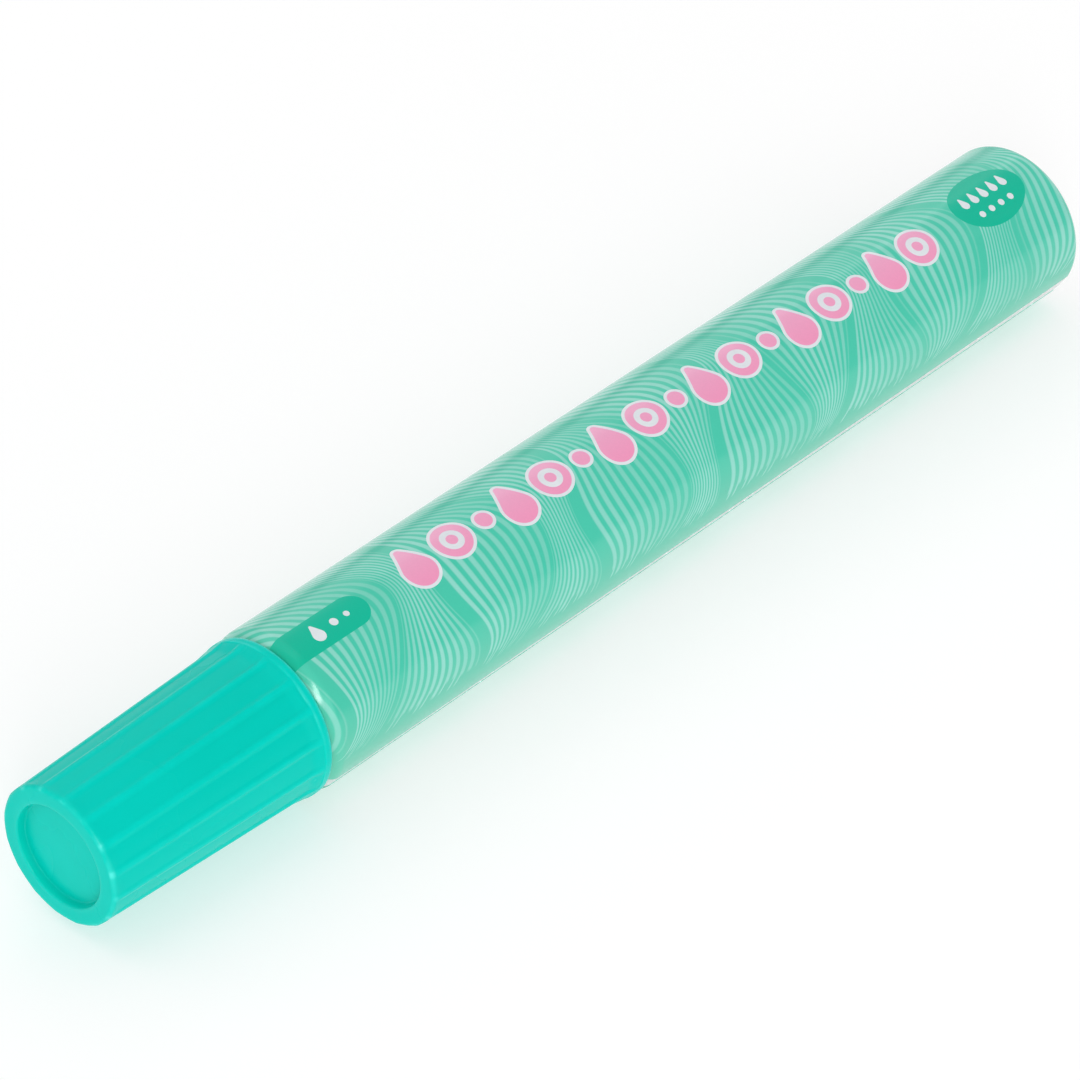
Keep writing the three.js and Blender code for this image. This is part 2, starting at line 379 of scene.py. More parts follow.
def softbox(name, at, aim, size, watts, colour=(1, 1, 1)):
    light = bpy.data.lights.new(name, "AREA")
    light.shape = "RECTANGLE"
    light.size, light.size_y = size
    light.energy = watts
    light.color = colour
    ob = bpy.data.objects.new(name, light)
    scene.collection.objects.link(ob)
    ob.location = at
    ob.rotation_mode = "QUATERNION"
    ob.rotation_quaternion = (Vector(aim) - Vector(at)).to_track_quat("-Z", "Y")
    return ob


softbox("key", (-0.933, -0.828, 0.672), (-0.05, 0, 0.01), (0.22, 0.56), 4.6)
softbox("overhead", (0.0, 0.6, 1.3), (0, 0, 0), (1.6, 1.6), 4.7)
softbox("front_fill", (-0.35, -1.35, 0.45), (0, 0, 0.01), (1.2, 0.8), 2.95)
softbox("side_fill", (1.55, 0.1, 0.7), (0.09, 0, 0.01), (1.6, 1.2), 3.4)
softbox("back_fill", (0.94, 1.04, 0.78), (0, 0, 0.01), (0.9, 0.9), 1.5)

floor_points = [(-9, -9, 0), (9, -9, 0), (9, 9, 0), (-9, 9, 0)]
floor = new_object("floor", floor_points, [(0, 1, 2, 3)])
g = Graph("floor_pale")
where = g.coords()
apart = g.tree.nodes.new("ShaderNodeSeparateXYZ")
g.link(where, apart.inputs[0])
east, north = apart.outputs[0], apart.outputs[1]
far = g.math("SQRT", g.add(g.mul(east, east), g.mul(north, north)))
# far out the floor fades to the studio's grey, so no horizon line shows
grey = g.step(g.math("DIVIDE", east, g.math("MAXIMUM", far, 0.01)), -0.6, 0.6, 0.38, 0.09)
g.set(
    Base_Color=g.mix(g.noise(where, 3.0, 3.0), (0.58, 0.58, 0.58, 1), (0.60, 0.60, 0.60, 1)),
    Roughness=g.ramp(g.noise(where, 40.0), 0.3, 0.7, 0.75, 0.85),
    Specular_IOR_Level=0.1,
    Emission_Color=(1, 1, 1, 1),
    Emission_Strength=g.step(far, 0.9, 4.5, 0.46, grey),
)
cover(floor, g.material)


# ------------------------------------------------------------------ cap shell

CAP_LEN = 37.2
PANELS = 16
PANEL_MID = math.radians(48.2)
PANEL_END = 35.85
FRONT_ROUND = 0.6
LEAD, STARTS = 9.0, 3
NECK_T0, NECK_T1, CAP_SHIFT = 27.2, 33.8, 1.36


def cap_outer(s, off):
    """Radius of the cap's outside at s, off radians from the middle of the nearest panel, and how far up a ridge that is."""
    cone = 10.1 + 1.15 * (s - 0.6) / 33.3
    over = cone + (11.5 - 10.1 - 1.15 * 35.6 / 33.3) * smooth(33.7, 36.2, s)
    shallow = 1 - 0.62 * smooth(33.9, PANEL_END, s)
    floor = over - (0.2 + 0.14 * s / 33.9) * shallow
    flat = floor * (0.5 + 0.5 / np.cos(off))  # half way between flat and round
    from_ridge = over * math.sin(math.pi / PANELS) - np.abs(floor * np.tan(off))
    side = smooth(0.85, 0.12, from_ridge)
    end = smooth(PANEL_END - 0.12, PANEL_END + 0.12, s)
    front = 1 - smooth(0.2, 1.9, s)
    lift = 1 - (1 - side * (1 - 0.45 * front)) * (1 - end)
    r = flat + (over - flat) * lift
    r = r + (floor + 0.12 - r) * 0.72 * front
    return r, lift


def thread(s, th, shift, t0, t1, root, crest):
    """Share of a thread's full height at s, th. root and crest are its widths."""
    a = math.pi - th
    pitch = LEAD / STARTS
    d = (s - NECK_T0 - shift - LEAD * a / TAU + pitch / 2) % pitch - pitch / 2
    middle = s - d
    ends = smooth(t0 - 0.3, t0 + 0.9, middle) * (1 - smooth(t1 - 0.9, t1 + 0.3, middle))
    side = np.clip((root / 2 - np.abs(d)) / ((root - crest) / 2), 0, 1)
    round_side = 1 - np.sqrt(np.clip(1 - side, 0, 1) ** 3)
    return (0.5 * side * side * (3 - 2 * side) + 0.5 * round_side) * ends


ridge_steps = [0.0, 0.5, 0.9, 1.25, 1.6, 1.95, 2.3, 2.7, 3.1, 3.6, 4.2, 4.9, 6.6, 8.8]
offs = []
for e in ridge_steps:
    offs.append(-11.25 + e)
offs.append(0.0)
for e in reversed(ridge_steps[1:]):
    offs.append(11.25 - e)
offs = np.radians(np.array(offs))
cap_off = np.tile(offs, PANELS)
cap_th = np.concatenate(
    [PANEL_MID + k * TAU / PANELS + offs for k in range(PANELS)]
)

rows_s, rows_r, rows_lift, rows_edge, rows_painted_shade, rows_polish = [], [], [], [], [], []


def cap_row(s, r, lift=0.0, edge=0.0, painted_shade=0.0, polish=0.0):
    n = len(cap_th)
    rows_polish.append(np.full(n, polish))
    rows_edge.append(np.broadcast_to(np.asarray(edge, float), n).copy())
    rows_painted_shade.append(np.full(n, painted_shade))
    rows_s.append(np.broadcast_to(np.asarray(s, float), n).copy())
    rows_r.append(np.broadcast_to(np.asarray(r, float), n).copy())
    rows_lift.append(np.broadcast_to(np.asarray(lift, float), n).copy())


edge_r, edge_lift = cap_outer(FRONT_ROUND, cap_off)
# the recessed end face, from its middle outwards
recess = dense(
    filleted([(1.2, 0.6), (1.2, 6.3), (1.2, 7.15, 0.3), (0.0, 7.4, 0.3), (0.0, 8.1)], steps=10), 1.1
)
# painted shade: the recess's wall and corner rows are marked to be darkened where shade falls in the recess
for s, rad in recess:
    cap_row(
        s, rad, painted_shade=float(smooth(0.25, 0.7, s) * smooth(5.9, 6.9, rad)), polish=0.2 if s < 0.45 and rad < 7.75 else 0.0
    )
for t in (0.25, 0.5, 0.75):
    cap_row(0.0, 8.1 + (edge_r - FRONT_ROUND - 8.1) * t)
# the front rim's rounding is marked for painted glints, strongest at the ridge ends, partly edge wear; the same marks
# give it a real glossy coat
for k in range(0, 7):
    a = math.radians(90 - 90 * k / 6)
    cap_row(
        FRONT_ROUND - FRONT_ROUND * math.sin(a),
        edge_r - FRONT_ROUND + FRONT_ROUND * math.cos(a),
        edge_lift * (0.4 + 0.6 * k / 6),
        (0.0, 0.5, 1.0, 1.0, 0.9, 0.6, 0.4)[k] * (0.2 + 0.8 * (edge_lift / edge_lift.max()) ** 1.5),
    )
# the rows at the panels' end, s 35.88 to 36.1, carry a faint painted highlight along the collar line, partly edge wear
for s in (
    [0.78, 1.0, 1.25, 1.55, 1.9, 2.4, 4.0, 6.0, 9.0, 12.0, 15.0, 18.0, 21.0, 24.0, 27.0, 30.0, 32.5]
    + [33.6, 34.0, 34.4, 34.8, 35.1, 35.4, 35.6, 35.73, 35.79, 35.85, 35.91, 35.97, 36.08]
    + [36.3, 36.6]
):
    r, lift = cap_outer(s, cap_off)
    cap_row(s, r, lift, 0.25 if 35.88 < s < 36.1 else 0.0)
# the collar's rear rounding: a painted highlight line, partly edge wear, and a real glossy coat
for k in range(1, 7):
    a = math.radians(90 * k / 6)
    cap_row(
        36.85 + 0.35 * math.sin(a), 11.15 + 0.35 * math.cos(a), 0.6, (0.3, 0.8, 1.0, 0.7, 0.3, 0.0)[k - 1],
        polish=(0.5, 1.0, 1.0, 1.0, 0.5, 0.0)[k - 1],
    )
for k in range(0, 4):
    a = math.radians(90 * k / 3)
    cap_row(37.2 - 0.25 * (1 - math.cos(a)), 10.45 - 0.25 * math.sin(a))
inside = dense([(36.95, 10.2), (36.3, 9.78)], 0.4)[1:]
inside += dense([(36.3, 9.75), (25.0, 9.75)], 0.21)
inside += [(24.6, 9.68), (24.1, 9.45), (23.8, 9.3)]
inside += dense([(23.8, 9.3), (3.6, 8.57)], 3.4)[1:]
inside += [(3.15, 8.5), (2.85, 8.32), (2.7, 8.05), (2.7, 5.0), (2.7, 1.0)]
for s, r in inside:
    up_thread = (
        0.85 * thread(s, cap_th, CAP_SHIFT, 28.0, 34.6, 1.5, 0.55) if r > 9.7 else 0.0
    )
    cap_row(s, r - up_thread)
cap = turned("cap", rows_s, rows_r, cap_th, first=1.2, last=2.7, sharp=60.0)
add_floats(cap, "ridge", np.concatenate([np.concatenate(rows_lift), [0.0, 0.0]]))
add_floats(cap, "painted_shade", np.concatenate([np.concatenate(rows_painted_shade), [0.0, 0.0]]))
add_floats(cap, "edge", np.concatenate([np.concatenate(rows_edge), [0.0, 0.0]]))
add_floats(cap, "polish", np.concatenate([np.concatenate(rows_polish), [0.0, 0.0]]))

g = Graph("cap_plastic")
where = g.coords()
cloud = g.noise(where, 60.0, 3.0, 0.55)
flow = g.noise(g.stretched(where, 40, 260, 260), 1.0, 3.0, 0.6)
speck = g.noise(where, 2600.0, 2.0, 0.6)
ridge = g.attribute("ridge")
body = g.mix(
    g.ramp(g.add(g.mul(cloud, 0.6), g.mul(flow, 0.4)), 0.35, 0.65, 0.0, 1.0),
    lin(0, 202, 185),
    lin(0, 206, 190),
)
body = g.mix(g.ramp(speck, 0.35, 0.75, 0.0, 0.06), body, lin(10, 212, 198))
# painted highlight along the ridges, partly ridge wear
ridge_wear_and_painted_highlight = g.mul(ridge, g.ramp(g.noise(where, 420.0, 4.0, 0.65), 0.3, 0.75, 0.35, 1.0))
body = g.mix(g.mul(ridge_wear_and_painted_highlight, 0.4), body, lin(0, 224, 210))
# painted glints and highlight lines along the rims and the collar line, partly rubbed wear; this mask also gives those
# edges a real glossy coat
rubbed_wear_and_painted_glint = g.mul(g.attribute("edge"), g.ramp(g.noise(where, 240.0, 3.0, 0.6), 0.45, 0.62, 0.06, 1.0))
body = g.mix(g.mul(rubbed_wear_and_painted_glint, 0.8), body, lin(80, 240, 228))
# painted shade: a darker tone on the recess's wall and corner
body = g.mix(g.mul(g.attribute("painted_shade"), 0.8), body, lin(0, 194, 177))
rough = g.ramp(cloud, 0.3, 0.7, 0.25, 0.29)
g.set(
    Base_Color=body,
    Roughness=rough,
    Specular_IOR_Level=0.06,
    Coat_Weight=g.add(g.mul(rubbed_wear_and_painted_glint, 0.9), g.mul(g.attribute("polish"), 0.7)),
    Coat_Roughness=0.22,
    Subsurface_Weight=0.12,
    Subsurface_Radius=(0.25, 1.0, 0.85),
    Subsurface_Scale=0.0012,
    Normal=g.bump(
        speck, 0.012, 0.00004, g.bump(g.noise(where, 330.0, 2.0), 0.012, 0.00016)
    ),
)
cover(cap, g.material)
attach(cap, "cap")
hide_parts("cap_shell")

# ------------------------------------------------------------------ bottle

BOTTLE_R = 11.60
# the shoulder: from s 39.4 the wall bends in towards the cap, then runs on almost as a cone
FILM_R, FILM_IN = 11.70, 11.615
SHOULDER = 39.4
bend_d = np.linspace(0, 2.7, 136)
bend_tilt = np.where(bend_d < 1.2, bend_d / 2.0, 1.2 / 2.0 + (bend_d - 1.2) / 7.0)
mid_tilt = (bend_tilt[1:] + bend_tilt[:-1]) / 2
drop_s = np.concatenate([[0], np.cumsum(np.cos(mid_tilt) * np.diff(bend_d))])
drop_r = np.concatenate([[0], np.cumsum(np.sin(mid_tilt) * np.diff(bend_d))])
wall_th = ring_angles(200)
outer = dense(
    filleted(
        [(24.5, 7.62), (24.5, 8.6, 0.3), (26.6, 8.6)], steps=4
    ),
    0.6,
)
outer += dense([(26.75, 8.6), (34.9, 8.6)], 0.1)
outer += filleted(
    [(35.0, 8.6), (37.0, 8.6, 1.2), (37.42, 9.3, 0.5), (37.42, 10.0)], steps=6
)
outer += [
    (SHOULDER - drop_s[i] + 0.1 * math.sin(bend_tilt[i]), FILM_R - drop_r[i] - 0.1 * math.cos(bend_tilt[i]))
    for i in range(120, -1, -6)
]
outer += [(s, BOTTLE_R) for s in np.linspace(41, 187.5, 24)]
outer += [
    (188.4 + 1.6 * math.sin(a), BOTTLE_R - 1.6 + 1.6 * math.cos(a))
    for a in np.radians(np.linspace(0, 90, 10))
]
outer += filleted(
    [
        (190.0, 9.2), (190.0, 6.9, 0.5), (189.35, 6.1, 0.6), (189.2, 4.2), (189.15, 2.0),
        (189.15, 1.25, 0.1), (189.4, 1.15, 0.12), (189.42, 0.5),
    ],
    steps=5,
)
lining = [(188.1, 0.5), (188.25, 4.0), (188.28, 7.6)]
lining += [
    (186.0 + 2.3 * math.cos(a), 8.4 + 2.3 * math.sin(a))
    for a in np.radians(np.linspace(0, 90, 8))
]
lining += [(s, 10.7) for s in np.linspace(180, 41.4, 12)]
lining += filleted(
    [(41.0, 10.7), (40.2, 10.5, 0.8), (39.0, 8.7, 0.8), (38.4, 7.4, 0.6), (36.0, 7.4)],
    steps=5,
)
lining += [(33.0, 7.4), (30.0, 7.4), (27.0, 7.4), (24.75, 7.42), (24.6, 7.48)]

prof = outer[::-1] + [(24.52, 7.55)] + lining[::-1]
S = np.array([p[0] for p in prof])
R = np.array([p[1] for p in prof])
RR = np.repeat(R[:, None], len(wall_th), 1)
for i, (s, r) in enumerate(prof):
    if 26.6 < s < 35.0 and abs(r - 8.6) < 1e-6:
        RR[i] += 0.85 * thread(s, wall_th, 0.0, NECK_T0, NECK_T1, 1.42, 0.7)
bottle = turned("bottle", S, RR, wall_th, first=189.43, last=188.1, sharp=50.0)

g = Graph("clear_plastic")
where = g.coords()
ripple = g.noise(g.stretched(where, 30, 300, 300), 1.0, 2.0)
haze = g.noise(where, 120.0, 4.0, 0.6)
g.set(
    Base_Color=g.mix(g.ramp(haze, 0.3, 0.7, 0, 1), (0.90, 0.945, 0.93, 1), (0.94, 0.97, 0.96, 1)),
    Roughness=g.ramp(haze, 0.3, 0.75, 0.08, 0.16),
    Transmission_Weight=0.25,
    IOR=1.48,
    Subsurface_Weight=0.6,
    Subsurface_Radius=(1.0, 1.0, 1.0),
    Subsurface_Scale=0.002,
    Normal=g.bump(ripple, 0.10, 0.0002),
)
cover(bottle, g.material)
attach(bottle, "tube")
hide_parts("barrel")

# ------------------------------------------------------------------ glue

glue_prof = filleted(
    [(187.4, 1.0), (187.4, 8.0), (187.3, 9.4, 1.0), (185.6, 10.6, 1.2), (150.0, 10.6)], steps=6
)
glue_prof += [(s, 10.6) for s in np.linspace(140, 60, 9)]
glue_prof += filleted(  # its front is hollowed round the valve stem, which the pressed tip pushes back 2 mm
    [
        (45.0, 10.6), (41.1, 10.6, 0.5), (40.3, 10.35, 0.6), (39.15, 8.6, 0.6), (38.6, 7.2, 0.3), (38.6, 5.4, 0.4),
        (39.9, 4.2, 0.5), (39.9, 1.0),
    ],
    steps=5,
)
glue = turned(
    "glue",
    [p[0] for p in glue_prof],
    [p[1] for p in glue_prof],
    ring_angles(96),
    first=187.4,
    last=39.9,
)
g = Graph("glue_milky")
where = g.coords()
swirl = g.noise(where, 45.0, 4.0, 0.55, 1.2)
bubbles = g.voronoi(where, 420.0)
milk = g.mix(g.ramp(swirl, 0.3, 0.7, 0, 1), (0.84, 0.88, 0.84, 1), (0.9, 0.92, 0.89, 1))
milk = g.mix(g.step(bubbles, 0.16, 0.10), milk, (0.96, 0.97, 0.96, 1))
g.set(
    Base_Color=milk,
    Roughness=g.ramp(swirl, 0.3, 0.7, 0.12, 0.25),
    Subsurface_Weight=0.4,
    Subsurface_Radius=(1.0, 1.0, 0.9),
    Subsurface_Scale=0.003,
    Normal=g.bump(bubbles, 0.1, 0.0002),
)
cover(glue, g.material)
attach(glue, "tube")
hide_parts("glue_fill")

# ------------------------------------------------------------------ printed film

U0, U1 = SHOULDER - 2.45, 189.9
HEEL = 1.66  # the film follows the bottle's rounded heel from s 188.4 on, and its shoulder from s 39.4 forwards


def film_point(u, v, inner=False):
    """Film coordinates in mm to (point, outward normal)."""
    th = np.asarray(v, float) / FILM_R
    u = np.asarray(u, float)
    b = np.clip((u - 188.4) / HEEL, 0, None)
    d = np.clip(SHOULDER - u, 0, None)
    tilt = b - np.interp(d, bend_d, bend_tilt)
    under = FILM_R - FILM_IN if inner else 0.0
    s = np.clip(u, SHOULDER, 188.4) + HEEL * np.sin(b) - np.interp(d, bend_d, drop_s) - under * np.sin(tilt)
    r = FILM_R - HEEL * (1 - np.cos(b)) - np.interp(d, bend_d, drop_r) - under * np.cos(tilt)
    normal = np.stack([np.sin(tilt), -np.cos(tilt) * np.cos(th), np.cos(tilt) * np.sin(th)], -1)
    return place(s, r, th), normal


def low_edge(u):
    return np.radians(-29.5 + 6.5 * (np.asarray(u, float) - 40.0) / 150.0) * FILM_R


def high_edge(u):
    return np.full_like(np.asarray(u, float), math.radians(316.0) * FILM_R)


def arc_v(degrees):
    return math.radians(degrees) * FILM_R


def round_shape(c, radius, n=40):
    a = np.linspace(0, TAU, n, endpoint=False)
    return np.stack([c[0] + radius * np.cos(a), c[1] + radius * np.sin(a)], 1)


def drop_shape(c, big, small, reach, grow=0.0, n=44):
    """A drop: a big round end at c and a small one reach further along +v, both larger by grow."""
    big, small = big + grow, small + grow
    lean = math.asin((big - small) / reach)
    lower = np.linspace(math.pi - lean, TAU + lean, int(n * 0.7))
    upper = np.linspace(lean, math.pi - lean, int(n * 0.3))
    a = np.stack([c[0] + big * np.cos(lower), c[1] + big * np.sin(lower)], 1)
    b = np.stack([c[0] + small * np.cos(upper), c[1] + reach + small * np.sin(upper)], 1)
    return np.concatenate([a, b])


def oval_shape(c, a, b, n=72):
    t = np.linspace(0, TAU, n, endpoint=False)
    return np.stack([c[0] + a * np.cos(t), c[1] + b * np.sin(t)], 1)


pink, dots, white, badge, marks = [], [], [], [], []
holes_pink = []
OUTLINE = 0.45
gap = 1.76
u = 59.6
kinds = "DTo" * 5 + "DT"
for kind in kinds:
    half = {"D": 2.5, "T": 2.9, "o": 1.25}[kind]
    u += half
    v = arc_v(80 - 10 * (u - 60) / 105)
    if kind == "D":
        c = (u, v - 1.35)
        pink.append(drop_shape(c, 2.5, 0.55, 4.2))
        white.append(drop_shape(c, 2.5, 0.55, 4.2, OUTLINE))
    elif kind == "T":
        c = (u, v)
        pink.append(round_shape(c, 2.9, 52))
        holes_pink.append(round_shape(c, 1.72, 40))
        dots.append(round_shape(c, 0.85, 24))
        white.append(round_shape(c, 2.9 + OUTLINE, 56))
    else:
        c = (u, v)
        pink.append(round_shape(c, 1.25, 30))
        white.append(round_shape(c, 1.25 + OUTLINE, 34))
    u += half + gap

bv = arc_v(76.5)
a = np.linspace(-math.pi / 2, math.pi / 2, 30)
badge.append(
    np.concatenate(
        [
            np.stack([49.9 + 2.6 * np.cos(a), bv + 2.6 * np.sin(a)], 1),
            np.array([[U0 + 0.02, bv + 2.6], [U0 + 0.02, bv - 2.6]]),
        ]
    )
)
marks.append(drop_shape((43.6, bv - 0.5), 0.95, 0.2, 1.75, n=30))
marks.append(round_shape((46.7, bv), 0.62, 20))
marks.append(round_shape((49.0, bv), 0.45, 18))
ov = arc_v(73.0)
badge.append(oval_shape((178.2, ov), 6.9, 4.7))
for i in range(5):
    marks.append(drop_shape((174.1 + 2.05 * i, ov + 0.55), 0.66, 0.16, 1.4, n=26))
for i in range(4):
    marks.append(round_shape((175.125 + 2.05 * i, ov - 1.95), 0.52, 18))


def short_steps(poly, longest=0.45):
    """The same outline with no straight longer than that, so that it follows the round bottle."""
    out = []
    for a, b in zip(poly, np.roll(poly, -1, 0)):
        n = max(1, math.ceil(float(np.linalg.norm(b - a)) / longest))
        out += [a + (b - a) * k / n for k in range(n)]
    return np.array(out)


def within(points, poly):
    """Which points lie inside a closed polygon."""
    x, y = points[:, 0], points[:, 1]
    hit = np.zeros(len(points), bool)
    x0, y0 = poly[:, 0], poly[:, 1]
    x1, y1 = np.roll(x0, -1), np.roll(y0, -1)
    for i in range(len(poly)):
        if y0[i] == y1[i]:
            continue
        cross = (y0[i] > y) != (y1[i] > y)
        at = x0[i] + (y - y0[i]) * (x1[i] - x0[i]) / (y1[i] - y0[i])
        hit ^= cross & (x < at)
    return hit


pink, dots, holes_pink, white, badge, marks = (
    [short_steps(x) for x in shapes] for shapes in (pink, dots, holes_pink, white, badge, marks)
)


def film_mesh():
    pts, edges = [], []

    def loop(poly):
        base = len(pts)
        pts.extend((float(p[0]), float(p[1])) for p in poly)
        n = len(poly)
        edges.extend((base + i, base + (i + 1) % n) for i in range(n))

    along = np.concatenate(
        [np.linspace(U0, SHOULDER, 14), np.arange(40.6, 188.4, 1.6), 188.4 + HEEL * np.radians(np.arange(0, 52, 6.5))[0:], ]
    )
    along = along[along < U1 - 0.05]
    along = np.concatenate([along, [U1]])
    lo, hi = low_edge(along), high_edge(along)
    count = 150
    left_v = np.linspace(low_edge(U0), high_edge(U0), count + 1)[1:-1]
    right_v = np.linspace(low_edge(U1), high_edge(U1), count + 1)[1:-1]
    border = (
        [(a, b) for a, b in zip(along, lo)]
        + [(U1, b) for b in right_v]
        + [(a, b) for a, b in zip(along[::-1], hi[::-1])]
        + [(U0, b) for b in left_v[::-1]]
    )
    border = np.array(border)
    loop(border)
    loops = pink + holes_pink + dots + white + badge + marks
    for poly in loops:
        loop(poly)
    grid_u = np.concatenate(
        [np.linspace(U0, SHOULDER, 14)[1:], np.arange(41.4, 188.4, 3.2), 188.4 + HEEL * np.radians(np.arange(0, 50, 6.5))]
    )
    grid = []
    for uu in grid_u:
        vv = np.linspace(low_edge(uu), high_edge(uu), count + 1)[1:-1]
        grid += [(uu, b) for b in vv]
    grid = np.array(grid)
    clear = np.ones(len(grid), bool)
    for poly in loops:
        reach = np.abs(poly - poly.mean(0)).max(0) + 0.6
        near = (np.abs(grid - poly.mean(0)) < reach).all(1)
        if near.any():
            idx = np.where(near)[0]
            d = np.linalg.norm(grid[idx][:, None] - poly[None], axis=2).min(1)
            clear[idx[d < 0.28]] = False
    pts.extend((float(a), float(b)) for a, b in grid[clear])
    out = delaunay_2d_cdt([Vector(p) for p in pts], edges, [], 0, 1e-5, False)
    flat = np.array([(p.x, p.y) for p in out[0]])
    tris = np.array([list(f) for f in out[2]])
    mid = flat[tris].mean(1)
    keep = within(mid, border)
    tris, mid = tris[keep], mid[keep]
    label = np.zeros(len(tris), int)
    for poly in white:
        label[within(mid, poly)] = 2
    for poly in pink:
        label[within(mid, poly)] = 1
    for poly in holes_pink:
        label[within(mid, poly)] = 2
    for poly in dots:
        label[within(mid, poly)] = 1
    for poly in badge:
        label[within(mid, poly)] = 3
    for poly in marks:
        label[within(mid, poly)] = 2
    return flat, tris, label


def film_piece(name, flat, tris):
    """A thin closed shell of the film that covers these flat triangles."""
    used, tris = np.unique(tris, return_inverse=True)
    tris = tris.reshape(-1, 3)
    uv = flat[used]
    n = len(uv)
    a, b, c = (uv[tris[:, i]] for i in range(3))
    area = np.cross(b - a, c - a)
    tris = np.where((area < 0)[:, None], tris[:, ::-1], tris)
    outer_p, normal = film_point(uv[:, 0], uv[:, 1])
    inner_p, _ = film_point(uv[:, 0], uv[:, 1], True)
    half = np.concatenate([tris[:, [0, 1]], tris[:, [1, 2]], tris[:, [2, 0]]])
    seen = {(int(x), int(y)) for x, y in half}
    rim = [(x, y) for x, y in seen if (y, x) not in seen]
    rim.sort()
    # (u, v) turns to (along +X, round towards +Z): an anticlockwise triangle faces inwards
    faces = [(t[2], t[1], t[0]) for t in tris.tolist()]
    faces += [(t[0] + n, t[1] + n, t[2] + n) for t in tris.tolist()]
    faces += [(x, y, y + n, x + n) for x, y in rim]
    ob = new_object(name, np.concatenate([outer_p, inner_p]), faces, 180.0)
    mesh = ob.data
    outward(ob)
    total = len(mesh.loops)
    index = np.empty(total, np.int32)
    mesh.loops.foreach_get("vertex_index", index)
    plane = np.concatenate([uv, uv])[index]
    for name_uv, scale, origin in (
        ("Unrolled", (1.0, 1.0), (0.0, 0.0)),
        ("OFBake", (1 / 154.0, 1 / 76.0), (36.4, -9.0)),
    ):
        layer = mesh.uv_layers.new(name=name_uv)
        values = (plane - np.array(origin)) * np.array(scale)
        layer.data.foreach_set("uv", values.astype(np.float32).ravel())
    starts = np.empty(len(mesh.polygons), np.int32)
    sizes = np.empty(len(mesh.polygons), np.int32)
    mesh.polygons.foreach_get("loop_start", starts)
    mesh.polygons.foreach_get("loop_total", sizes)
    face_n = np.empty(len(mesh.polygons) * 3, np.float32)
    mesh.polygons.foreach_get("normal", face_n)
    face_n = face_n.reshape(-1, 3)
    every = np.concatenate([normal, -normal])[index]
    for i in np.where(sizes == 4)[0]:
        every[starts[i] : starts[i] + 4] = face_n[i]
    mesh.normals_split_custom_set([tuple(x) for x in every])
    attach(ob, "tube")
    return ob


film_flat, film_tris, film_label = film_mesh()
film_green = film_piece("film_green", film_flat, film_tris[film_label == 0])
film_pink = film_piece("film_pink", film_flat, film_tris[film_label == 1])
film_white = film_piece("film_white", film_flat, film_tris[film_label == 2])
film_badge = film_piece("film_badge", film_flat, film_tris[film_label == 3])
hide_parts("print_wrap")


def film_finish(g, u, v, colour, gloss=0.6):
    """The film's gloss, fine print grain and slight unevenness, over the printed colour."""
    where = g.coords()
    grain = g.noise(where, 3200.0, 2.0, 0.6)
    drift = g.noise(where, 42.0, 3.0, 0.55)
    colour = g.mix(g.ramp(grain, 0.3, 0.7, 0.0, 0.5), colour, (0.93, 0.96, 0.95, 1), "MULTIPLY")
    colour = g.mix(g.ramp(drift, 0.3, 0.7, 0.0, 0.6), colour, (0.94, 0.98, 0.97, 1), "MULTIPLY")
    rub = g.noise(g.stretched(where, 260, 1500, 1500), 1.0, 3.0, 0.6)
    pull = g.noise(g.stretched(where, 16, 120, 120), 1.0, 2.0)
    g.set(
        Base_Color=colour,
        Roughness=g.ramp(g.add(g.mul(rub, 0.4), g.mul(drift, 0.6)), 0.3, 0.7, 0.15, 0.21),
        Specular_IOR_Level=gloss,
        Sheen_Weight=0.05,
        Sheen_Roughness=0.5,
        Normal=g.bump(pull, 0.03, 0.0002),
    )


g = Graph("film_waves")
u, v = g.uv("Unrolled")
P, N = 26.0, 6.0
bend = g.add(
    g.mul(g.math("SINE", g.add(g.mul(v, TAU / 44.0), 0.6)), 4.6),
    g.mul(g.math("SINE", g.add(g.mul(v, TAU / 19.0), 1.9)), 1.3),
)
bend = g.add(bend, g.mul(v, 0.30))
band = g.math("DIVIDE", g.sub(u, bend), P)
number = g.math("FLOOR", band)
at = g.mul(g.sub(band, number), P)


def half_leaf(k):
    """Half the width of leaf k at v."""
    swell = g.math("SINE", g.add(g.mul(v, TAU / 38.0), g.add(g.mul(k, 0.9), 0.4)))
    return g.add(g.mul(swell, P * 0.13), P * 0.25)


first, second = half_leaf(number), half_leaf(g.add(number, 1.0))
between = g.sub(P, g.add(first, second))
q1 = g.math("DIVIDE", at, first)
q2 = g.math("DIVIDE", g.sub(P, at), second)
q3 = g.math("DIVIDE", g.sub(at, first), between)
in1, in2 = g.math("LESS_THAN", q1, 1.0), g.math("LESS_THAN", q2, 1.0)
in3 = g.sub(1.0, g.math("MAXIMUM", in1, in2))
across = g.add(g.add(g.mul(q1, in1), g.mul(q2, in2)), g.mul(q3, in3))
count = g.add(N, g.mul(in3, N))
place_in = g.mul(across, count)
stripe = g.step(g.math("PINGPONG", place_in, 0.5), 0.14, 0.36)
# a plain blade along each leaf's rim, and lines that grow fainter across it
rim = g.add(g.mul(g.step(across, 0.93, 0.86), g.sub(1.0, in3)), g.mul(g.step(across, 0.07, 0.12), in3))
fade = g.add(
    g.mul(g.step(across, 0.0, 1.0, 1.0, 0.6), g.sub(1.0, in3)),
    g.mul(g.step(across, 0.0, 1.0, 1.0, 0.5), in3),
)
